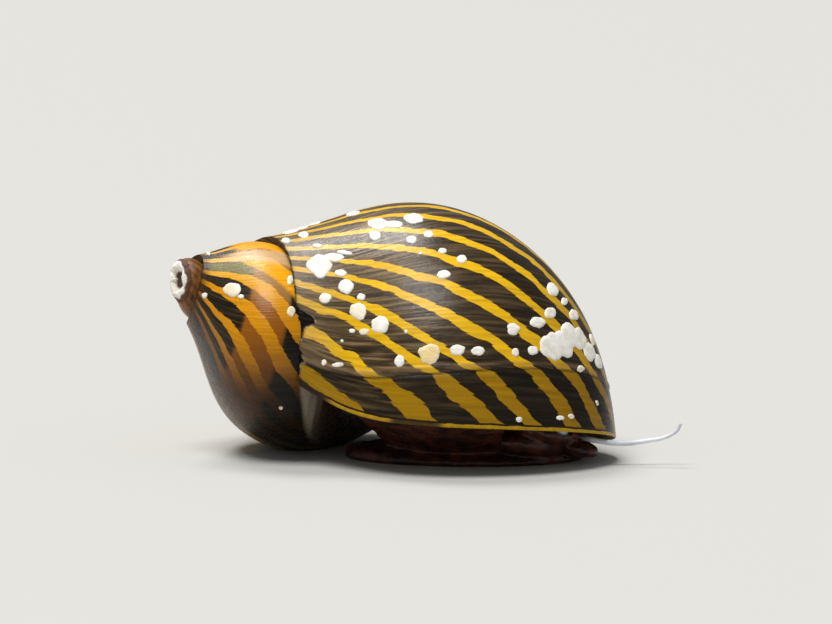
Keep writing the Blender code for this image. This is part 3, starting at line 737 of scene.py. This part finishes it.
# Each spot: place, turn, length and width in mm, lean from the profile's direction, yellowness.
limeSpots = {
    "height": 0.07, "sunk": 0.03, "rings": 5, "ringWidth": 0.17, "sides": 28,
    "spots": (
        (0.059, -43, 1.7, 1.45, -64, 0), (0.092, -48, 1.2, 0.7, 8, 0), (0.12, -50.5, 0.9, 0.35, 25, 0),
        (0.222, -68, 1.6, 1.1, 77, 0), (0.259, -65, 1.1, 0.9, 47, 0), (0.203, -59, 1, 0.7, 88, 0),
        (0.294, -54, 0.72, 0.62, -80, 0), (0.317, -68, 1.4, 1.1, -77, 0), (0.342, -57, 0.73, 0.54, -70, 0.1),
        (0.372, -49, 0.57, 0.42, -35, 0), (0.064, -59, 0.6, 0.46, 20, 0.1), (0.374, -39.5, 0.85, 0.56, -35, 0),
        (0.106, -38, 0.7, 0.5, -4, 0), (0.117, -31, 1, 0.92, -29, 0), (0.158, -27, 0.54, 0.42, -11, 0),
        (0.066, -24, 0.8, 0.56, -24, 0.1), (0.151, -21, 1.13, 0.95, -22, 0.3),
        (0.217, -18, 1.16, 0.95, -22, 0), (0.141, -13, 0.43, 0.24, -18, 0), (0.174, -14, 0.7, 0.34, -17, 0.4),
        (0.289, -9, 0.7, 0.6, -37, 0), (0.363, -14, 1.34, 1.05, -32, 0.75), (0.069, 3, 0.42, 0.28, -39, 0.2),
        (0.109, 1, 0.9, 0.23, -24, 0), (0.052, -97, 1.7, 0.95, -64, 0), (0.053, -77, 1.1, 0.55, -80, 0),
        (0.012, -72, 0.8, 0.5, -73, 0), (0.089, -101, 1.5, 0.6, -63, 0), (0.124, -103, 1.5, 0.7, -63, 0),
        (0.2, -91, 1.5, 0.74, -76, 0), (0.293, -18, 0.24, 0.2, -49, 0.2), (0.115, -8, 0.23, 0.16, -26, 0.2),
        (0.315, -47, 0.27, 0.24, -36, 0.1), (0.42, -47, 0.78, 0.53, -56, 0.1), (0.429, -18, 0.9, 0.58, -30, 0),
        (0.476, -20, 0.86, 0.48, -30, 0), (0.557, -24, 0.53, 0.4, -55, 0), (0.547, -30, 0.95, 0.62, -49, 0),
        (0.603, -36, 1.25, 0.58, -38, 0), (0.636, -42, 1.25, 0.56, -48, 0), (0.653, -53, 1.6, 0.75, -60, 0),
        (0.685, -52, 1.14, 0.38, -57, 0), (0.712, -50, 1.6, 0.55, -51, 0), (0.716, -31, 0.75, 0.36, -42, 0.2),
        (0.595, -27, 0.75, 0.46, -41, 0), (0.64, -31.5, 1.9, 1.45, -47, 0), (0.668, -34.5, 1.8, 1.4, -40, 0),
        (0.69, -40, 1.9, 1.25, -51, 0), (0.718, -41.5, 2, 1.2, -46, 0), (0.752, -40.5, 1.9, 1, -45, 0),
        (0.79, -41.5, 1.6, 0.75, -50, 0), (0.776, -48.5, 1.3, 0.6, -56, 0.3),
        (0.589, -8.5, 0.44, 0.28, -30, 0), (0.675, -14, 0.6, 0.24, -24, 0), (0.7, -16, 0.46, 0.26, -26, 0),
        (0.77, -25, 0.3, 0.26, 0, 0.2), (0.162, -371, 1.4, 0.8, -15, 0.35), (0.034, -351, 0.44, 0.3, -26, 0),
        (0.509, -392, 0.75, 0.38, -75, 0.2), (0.526, -372, 0.64, 0.46, -73, 0.4),
        (0.04, -440, 0.6, 0.24, -78, 0.1), (0.602, -326, 0.27, 0.24, -63, 0.4),
        (0.225, -368, 0.45, 0.25, -18, 0),
        # round the back, in the same manner
        (0.3, -116, 0.9, 0.7, -60, 0.1), (0.18, -132, 0.6, 0.5, -20, 0), (0.46, -124, 0.9, 0.7, -40, 0),
        (0.58, -98, 0.7, 0.5, -50, 0.2), (0.35, -152, 1.2, 0.8, -70, 0), (0.12, -165, 0.6, 0.5, 10, 0.1),
        (0.5, -172, 0.7, 0.4, -30, 0), (0.66, -140, 0.6, 0.5, 0, 0), (0.22, -198, 0.8, 0.6, -60, 0.2),
        (0.42, -215, 0.5, 0.45, 0, 0), (0.28, -238, 0.7, 0.5, -45, 0),
    ),
}


def makeLimeSpots(material):
    bm = bmesh.new()
    tint = bm.verts.layers.float.new("tint")
    for n, (place, turn, length, width, lean, yellow) in enumerate(limeSpots["spots"]):
        run = (section(turn, place + 0.01) - section(turn, max(place - 0.01, 0))).length
        run /= 0.01 + min(place, 0.01)
        radius = section(turn, place).y
        ring = bmesh.ops.create_circle(bm, cap_ends=True, segments=limeSpots["sides"], radius=1)["verts"]
        face = ring[0].link_faces[0]
        disc = set(ring)
        for _ in range(limeSpots["rings"]):
            inset = bmesh.ops.inset_region(bm, faces=[face], thickness=limeSpots["ringWidth"],
                                           use_boundary=True, use_even_offset=False)
            disc.update(v for f in inset["faces"] for v in f.verts)
        disc.update(bmesh.ops.poke(bm, faces=[face])["verts"])
        tilt = Matrix.Rotation(radians(lean), 2)
        for vert in disc:
            flat = Vector((vert.co.x, vert.co.y))
            r = flat.length
            way = Vector((*(flat / r if r > 1e-6 else flat), 0))
            ragged = 1 + 0.22 * noise.noise(way * 1.1 + Vector((n * 3.7, 1, 2)))
            ragged += 0.10 * noise.noise(way * 3.2 + Vector((n, 5, 2)))
            u, v = tilt @ Vector((flat.x * ragged * length / 2, flat.y * ragged * width / 2))
            lift = limeSpots["height"] * (1 - r ** 5) + 0.018 * noise.noise(Vector((u * 3, v * 3, n)))
            if r > 0.97:
                lift = -limeSpots["sunk"]
            vert[tint] = yellow * (1 - 0.6 * r * r)
            at = min(max(place + u / run, 0.0), 1.0)
            around = turn + v / radius * 180 / pi
            vert.co = shellPoint(around, at, lift + relief(around - lipTurn(at), at))
    bmesh.ops.holes_fill(bm, edges=[e for e in bm.edges if e.is_boundary], sides=0)
    finish("limeSpots", bm, (), material)


flesh = {
    "soleLength": 12.6, "soleWidth": 7.4,
    "soleSteps": ((0.0, 0.965, 0.0), (0.12, 1.0, 0.0), (0.30, 0.99, 0.0), (0.50, 0.88, -0.7),
                  (0.68, 0.72, -1.5), (0.80, 0.50, -2.1)),
    "headCentre": Vector((4.0, -2.25, 1.72)), "headHalf": Vector((1.9, 1.35, 0.72)), "headDip": radians(13),
    "snoutCentre": Vector((5.75, -2.1, 0.80)), "snoutHalf": Vector((1.1, 1.2, 0.44)), "snoutDip": radians(14),
    "neckCentre": Vector((3.0, -2.0, 1.1)), "neckHalf": Vector((2.4, 1.5, 0.8)), "neckDip": radians(6),
    # the column that goes up into the shell: places it keeps to, its far side, its turns, and how far in
    "columnPlaces": (0.10, 0.58), "columnShare": 0.62, "columnTurns": (0, -12, -24), "columnInset": 1.1,
    "waist": Vector((-1.3, -1.2, 0.5)), "waistScale": (0.66, 0.62),
    "voxel": 0.11, "settle": 6, "rootSmooths": 4,
    "dark": "#22100B", "brown": "#54291C", "feeler": "#E9EDF2", "feelerShade": "#C9CDD6",
    "nodes": ("foot", "head", "snout", "tentacle_right_base", "tentacle_right_middle", "tentacle_right_tip",
              "tentacle_left_base", "tentacle_left_tip", "eye_stalk_right", "eye_stalk_left"),
}


def oval(bm, centre, half, lean, segments=32, rings=20):
    made = bmesh.ops.create_uvsphere(bm, u_segments=segments, v_segments=rings, radius=1)
    place = Matrix.Translation(centre) @ Matrix.Rotation(lean, 4, "Y") @ Matrix.Diagonal((*half, 1))
    bmesh.ops.transform(bm, matrix=place, verts=made["verts"])


def loops(bm, rings):
    # a closed body through rings of points, by extruding the first ring's face from one to the next;
    # returns the last ring's face
    made = bmesh.ops.create_circle(bm, cap_ends=True, segments=len(rings[0]), radius=1)
    verts = made["verts"]
    face = verts[0].link_faces[0]
    order = [loop.vert for loop in face.loops]
    for vert, p in zip(order, rings[0]):
        vert.co = p
    bottom = face
    for ring in rings[1:]:
        before = face
        grown = bmesh.ops.extrude_face_region(bm, geom=[face], use_keep_orig=True)
        face = next(g for g in grown["geom"] if isinstance(g, bmesh.types.BMFace))
        if before is not bottom:
            bmesh.ops.delete(bm, geom=[before], context="FACES_ONLY")      # no wall across the body
        for loop, p in zip(face.loops, ring):
            loop.vert.co = p
    return face


def soleRing(scale, shift, height, count=64):
    ring = []
    for i in range(count):
        a = 2 * pi * i / count
        half = flesh["soleWidth"] / 2 * (1 + 0.10 * cos(a))
        ring.append(Vector((shift + scale * flesh["soleLength"] / 2 * cos(a), scale * half * sin(a), height)))
    return ring


def columnLoop(behind, count=20):
    # round the column at this turn: along the shell's profile, over to its far side and back
    first, last = flesh["columnPlaces"]
    places = [first + (last - first) * i / count for i in range(count + 1)]
    outer = [shellPoint(behind + lipTurn(place), place, -flesh["columnInset"]) for place in places]
    base = shellPoint(behind + lipTurn(0.97), 0.97, -flesh["columnInset"])
    far = outer[0].lerp(base, flesh["columnShare"])
    return outer + [far.lerp(outer[0], i / count) for i in range(1, count)]


def fleshForms():
    # the sole, the column on it, and the ovals of head, snout and neck, still apart
    bm = bmesh.new()
    loops(bm, [soleRing(scale, shift, height) for height, scale, shift in flesh["soleSteps"]])
    column = [columnLoop(behind) for behind in flesh["columnTurns"]]
    centre = sum(column[0], Vector()) / len(column[0])
    scaleX, scaleY = flesh["waistScale"]
    waist = [flesh["waist"] + Vector(((p.x - centre.x) * scaleX, (p.y - centre.y) * scaleY, 0))
             for p in column[0]]
    loops(bm, [waist] + column)
    for form in ("head", "snout", "neck"):
        oval(bm, flesh[form + "Centre"], flesh[form + "Half"], flesh[form + "Dip"])
    bmesh.ops.recalc_face_normals(bm, faces=bm.faces)
    return bm


def settled(obj):
    # a working object's mesh with its modifiers, as a bmesh; the object is removed
    made = bpy.data.meshes.new_from_object(obj.evaluated_get(bpy.context.evaluated_depsgraph_get()))
    bm = bmesh.new()
    bm.from_mesh(made)
    bpy.data.meshes.remove(made)
    bpy.data.objects.remove(obj)
    return bm


def makeSnailSkin(material):
    # foot, column, head and snout flow into one another; then the feelers and stalks are joined on
    rough = objectFrom("fleshRough", fleshForms())
    remesh = rough.modifiers.new("skin", "REMESH")
    remesh.mode = "VOXEL"
    remesh.voxel_size = flesh["voxel"] * mm
    settle = rough.modifiers.new("settle", "SMOOTH")
    settle.factor, settle.iterations = 0.5, flesh["settle"]
    body = objectFrom("fleshBody", settled(rough), 1)
    horns = bpy.data.collections.new("horns")
    spine = []
    for name, path, radiusAt, sides in hornList():
        bm = bmesh.new()
        loops(bm, taperedRings(path, radiusAt, sides))
        bmesh.ops.recalc_face_normals(bm, faces=bm.faces)
        obj = objectFrom(name, bm)
        bpy.context.scene.collection.objects.unlink(obj)
        horns.objects.link(obj)
        spine += [(p, i / (len(path) - 1), radiusAt(i / (len(path) - 1))) for i, p in enumerate(path)]
    joined = body.modifiers.new("joined", "BOOLEAN")
    joined.operation, joined.solver = "UNION", "EXACT"
    joined.operand_type, joined.collection = "COLLECTION", horns
    bm = settled(body)
    for obj in list(horns.objects):
        bpy.data.objects.remove(obj)
    bpy.data.collections.remove(horns)
    bmesh.ops.transform(bm, matrix=Matrix.Scale(1 / mm, 4), verts=bm.verts)
    bmesh.ops.remove_doubles(bm, verts=bm.verts, dist=0.0005)
    pale = bm.verts.layers.float.new("pale")

    tree = kdtree.KDTree(len(spine))
    for i, (p, _, _) in enumerate(spine):
        tree.insert(p, i)
    tree.balance()
    near = {}
    for vert in bm.verts:
        _, i, gap = tree.find(vert.co)
        near[vert] = (spine[i][1], gap / spine[i][2])
    roots = [vert for vert, (at, gap) in near.items() if at < 0.35 and 0.9 < gap < 2.2 and vert.co.z > 0.3]
    for _ in range(flesh["rootSmooths"]):
        bmesh.ops.smooth_vert(bm, verts=roots, factor=0.5, use_axis_x=True, use_axis_y=True, use_axis_z=True)
    bm.normal_update()
    for vert, (at, gap) in near.items():
        vert[pale] = smooth(1.8, 1.15, gap) * smooth(0.10, 0.34, at)
        p = vert.co
        if p.z > 0.02:
            rough = 0.05 * noise.noise(p * 2.2) + 0.02 * noise.noise(p * 7)
            p += vert.normal * rough * (1 - 0.85 * smooth(1.8, 1.15, gap))
        p.z = max(p.z, 0.0)
    finish("snailSkin", bm, flesh["nodes"], material)


feelers = {
    "right": ((5.4, -2.9, 1.62), (5.9, -2.95, 1.46), (6.6, -2.95, 1.30), (7.5, -2.95, 1.17),
              (8.35, -2.95, 1.15), (9.2, -2.95, 1.26), (10.1, -2.95, 1.42), (10.75, -2.95, 1.76),
              (11.0, -2.95, 2.2)),
    "left": ((4.9, -1.5, 1.5), (5.4, -1.15, 1.56), (5.5, -0.65, 1.74), (5.0, -0.38, 2.0), (4.2, -0.38, 2.2),
             (3.4, -0.5, 2.35), (2.75, -0.75, 2.45)),
    "root": 0.20, "tip": 0.075, "sides": 14, "steps": 90,
}


def smoothPath(points, count):
    # a smooth line through the points, in this many steps
    points = [Vector(p) for p in points]
    padded = [points[0] * 2 - points[1]] + points + [points[-1] * 2 - points[-2]]
    path = []
    for i in range(count + 1):
        at = (len(points) - 1) * i / count
        k = min(int(at), len(points) - 2)
        t = at - k
        a, b, c, d = padded[k:k + 4]
        path.append((b * 2 + (c - a) * t + (a * 2 - b * 5 + c * 4 - d) * t ** 2
                     + (b * 3 - a - c * 3 + d) * t ** 3) / 2)
    return path


def taperedRings(path, radiusAt, sides):
    # rings of points square to the path
    rings = []
    for i, p in enumerate(path):
        ahead = path[min(i + 1, len(path) - 1)] - path[max(i - 1, 0)]
        turnTo = ahead.to_track_quat("Z", "Y").to_matrix()
        radius = radiusAt(i / (len(path) - 1))
        rings.append([p + turnTo @ Vector((cos(a) * radius, sin(a) * radius, 0))
                      for a in (2 * pi * k / sides for k in range(sides))])
    return rings


def feelerRadius(at):
    body = mix(feelers["root"], feelers["tip"], at ** 0.8) * (1 + 0.35 * smooth(0.12, 0.0, at))
    return body * (1 - max(0, (at - 0.985) / 0.015) ** 2 * 0.75)


stalks = {
    "right": (Vector((4.9, -3.1, 2.0)), Vector((5.15, -3.75, 2.2))),
    "left": (Vector((4.6, -1.3, 2.3)), Vector((4.75, -1.05, 2.75))),
    "radius": 0.24, "sunk": 0.8, "steps": 12, "sides": 16,
    "eye": 0.19, "eyeOut": 0.55,         # radius, and how far out of the stalk's end as a share of it
    "eyeBlack": "#050404", "eyeBrown": "#17110E",
}


def stalkRadius(at):
    return stalks["radius"] * (1.25 - 0.3 * at) * (1 - 0.35 * smooth(0.8, 1, at))


def hornList():
    # the feelers and the eyes' stalks: name, path, radius along it and number of sides
    horns = []
    for side in ("right", "left"):
        path = smoothPath(feelers[side], feelers["steps"])
        horns.append((f"feeler_{side}", path, feelerRadius, feelers["sides"]))
        start, end = stalks[side]
        start = start - (end - start) * stalks["sunk"]
        path = [start.lerp(end, i / stalks["steps"]) for i in range(stalks["steps"] + 1)]
        horns.append((f"stalk_{side}", path, stalkRadius, stalks["sides"]))
    return horns


def makeEye(side, material):
    start, end = stalks[side]
    bm = bmesh.new()
    centre = end + (end - start).normalized() * (stalks["eye"] * stalks["eyeOut"])
    bmesh.ops.create_uvsphere(bm, u_segments=28, v_segments=18, radius=stalks["eye"])
    bmesh.ops.transform(bm, matrix=Matrix.Translation(centre), verts=bm.verts)
    finish(f"eyeBall_{side}", bm, (f"eye_{side}",), material)


def makeSkin():
    # Living mollusc skin: moist, finely granular, dark, and paling to milky and half clear along the feelers.
    material, tree, shader = newMaterial("moistSnailSkin", 0.32, 1.4)
    here = add(tree, "ShaderNodeTexCoord", {}, {}, "Object")
    cloud = add(tree, "ShaderNodeTexNoise", {}, {"Vector": here, "Scale": 1 / (0.8 * mm), "Detail": 5.0})
    cells = add(tree, "ShaderNodeTexVoronoi", {}, {"Vector": here, "Scale": 1 / (0.16 * mm)})
    pale = add(tree, "ShaderNodeAttribute", {"attribute_name": "pale"}, {}, "Fac")
    factor = add(tree, "ShaderNodeMapRange", softEdge, {0: cloud, 1: 0.35, 2: 0.7})
    body, horn = (add(tree, "ShaderNodeMix", blend, {0: factor, 6: colour(flesh[a]), 7: colour(flesh[b])}, 2)
                  for a, b in (("dark", "brown"), ("feeler", "feelerShade")))
    base = add(tree, "ShaderNodeMix", blend, {0: pale, 6: body, 7: horn}, 2)
    tree.links.new(base, shader.inputs["Base Color"])
    bump = add(tree, "ShaderNodeBump", {}, {"Strength": 0.5, "Distance": 0.03 * mm, "Height": cells})
    tree.links.new(bump, shader.inputs["Normal"])
    return material


def makeMottled(name, roughness, ior, span, detail, first, second):
    # two colours in soft clouds, span mm across
    material, tree, shader = newMaterial(name, roughness, ior)
    here = add(tree, "ShaderNodeTexCoord", {}, {}, "Object")
    cloud = add(tree, "ShaderNodeTexNoise", {}, {"Vector": here, "Scale": 1 / (span * mm), "Detail": detail})
    base = add(tree, "ShaderNodeMix", blend, {0: cloud, 6: colour(first), 7: colour(second)}, 2)
    tree.links.new(base, shader.inputs["Base Color"])
    return material


def makeEyeGloss():
    # A lens over dark pigment: wet, nearly black and fully glossy.
    return makeMottled("wetEyePigment", 0.08, 1.4, 0.1, 2, stalks["eyeBlack"], stalks["eyeBrown"])


# Half an oval under the aperture's plane: each step is how far down, and its scale.
operculum = {
    "centre": (-2.3, 0.45), "radius": 2.5, "depth": 3.2, "drop": 0.42, "sides": 48,
    "straight": 0.12,        # depth of the nearly straight side, as a share of the round one
    "steps": ((0.0, 0.90), (0.06, 0.97), (0.2, 1.0), (0.34, 0.97), (0.42, 0.90)),
    "brown": "#6B4A2E", "tan": "#8C6A48", "pale": "#B09A7A",
}


def makeOperculum(material):
    bm = bmesh.new()
    centreX, centreY = operculum["centre"]
    rings = []
    for drop, scale in operculum["steps"]:
        ring = []
        for i in range(operculum["sides"]):
            a = 2 * pi * i / operculum["sides"]
            x = operculum["radius"] * scale * cos(a)
            y = operculum["depth"] * scale * sin(a) * (1 if sin(a) > 0 else operculum["straight"])
            p = Vector((centreX + x, centreY + y, 0))
            p.z = apertureZ(p) - operculum["drop"] - drop
            ring.append(p)
        rings.append(ring)
    loops(bm, rings)
    finish("operculumPlate", bm, ("operculum",), material)


def makeHorn():
    # Limy horn: a satin brown plate with curved growth lines 0.15 mm apart.
    material, tree, shader = newMaterial("limyHorn", 0.38, 1.5)
    here = add(tree, "ShaderNodeTexCoord", {}, {}, "Object")
    placed = add(tree, "ShaderNodeMapping", {}, {"Vector": here, "Location": (0.0045, 0.0, 0.0)})
    rings = add(tree, "ShaderNodeTexWave", {"wave_type": "RINGS", "rings_direction": "Z"},
                {"Vector": placed, "Scale": 1 / (0.9 * mm), "Distortion": 1.5, "Detail": 2.0,
                 "Detail Scale": 600.0})
    cloud = add(tree, "ShaderNodeTexNoise", {}, {"Vector": here, "Scale": 1 / (1.0 * mm)})
    base = add(tree, "ShaderNodeMix", blend,
               {0: rings, 6: colour(operculum["brown"]), 7: colour(operculum["tan"])}, 2)
    base = add(tree, "ShaderNodeMix", blend, {0: cloud, 6: base, 7: colour(operculum["pale"])}, 2)
    tree.links.new(base, shader.inputs["Base Color"])
    bump = add(tree, "ShaderNodeBump", {}, {"Strength": 0.4, "Distance": 0.04 * mm, "Height": rings})
    tree.links.new(bump, shader.inputs["Normal"])
    return material


def makeCallusGloss():
    # Smooth enamel laid down by the mantle: pale grey-beige, with faint clouds.
    return makeMottled("callusEnamel", 0.3, 1.53, 1.2, 4, "#A89C86", "#CFC6B2")


studio = {
    "floor": "#C4C2BD", "floorSize": 8,
    "lookAt": Vector((-2.6, 1.5, 7.45)), "distance": 200, "elevation": 0.1061,      # mm, and radians
    "mmPerPixel": 0.0523, "imageWidth": 832, "sensorWidth": 36,
    # where each light comes from, its strength, and its width in degrees
    "lights": (("overheadSoftbox", (-0.22, -0.22, 0.95), 2.5, 30),
               ("backSoftbox", (-0.25, 0.46, 0.85), 1.6, 20),
               ("frontSoftbox", (0.45, -0.80, 0.40), 0.25, 120)),
    "sky": 0.24, "skyColour": "#EEF0F2",
}


def makeStudio():
    bm = bmesh.new()
    bmesh.ops.create_grid(bm, x_segments=1, y_segments=1, size=studio["floorSize"] / 2)
    floor = objectFrom("floor", bm, 1)
    material, _, shader = newMaterial("paleFloor", 0.8)
    shader.inputs["Base Color"].default_value = colour(studio["floor"])
    floor.data.materials.append(material)
    for name, source, strength, wide in studio["lights"]:
        lamp = bpy.data.lights.new(name, "SUN")
        lamp.energy, lamp.angle = strength, radians(wide)
        obj = placed(name, lamp)
        obj.location = Vector(source) * 0.2
        obj.rotation_euler = Vector(source).to_track_quat("Z", "Y").to_euler()
    world = bpy.data.worlds.new("studioAir")
    world.use_nodes = True
    background = world.node_tree.nodes["Background"]
    background.inputs["Color"].default_value = colour(studio["skyColour"])
    background.inputs["Strength"].default_value = studio["sky"]
    bpy.context.scene.world = world
    bpy.context.scene.view_settings.view_transform = "Standard"


def makeCamera():
    camera = bpy.data.cameras.new("camera")
    e = studio["elevation"]
    forward = Vector((0, cos(e), -sin(e)))
    place = studio["lookAt"] - forward * studio["distance"]
    camera.sensor_width = studio["sensorWidth"]
    camera.lens = studio["sensorWidth"] * studio["distance"] / (studio["imageWidth"] * studio["mmPerPixel"])
    camera.clip_start, camera.clip_end = 0.001, 10
    obj = placed("camera", camera)
    obj.location = place * mm
    obj.rotation_mode = "QUATERNION"
    obj.rotation_quaternion = forward.to_track_quat("-Z", "Y")
    bpy.context.scene.camera = obj


wornEdge = makeShell(makeShellGlaze())
print("shell made")
makeApex(wornEdge, makeChalk("weatheredShellLime", *chalk["apex"]))
makeLimeSpots(makeChalk("limeCrust", *chalk["spots"]))
print("apex and lime spots made")
makeSnailSkin(makeSkin())
eyeGloss = makeEyeGloss()
for side in ("right", "left"):
    makeEye(side, eyeGloss)
print("flesh made")
makeOperculum(makeHorn())
frame["nodes"]["shell_callus"].data.materials.clear()
frame["nodes"]["shell_callus"].data.materials.append(makeCallusGloss())
makeStudio()
makeCamera()
print("studio made")
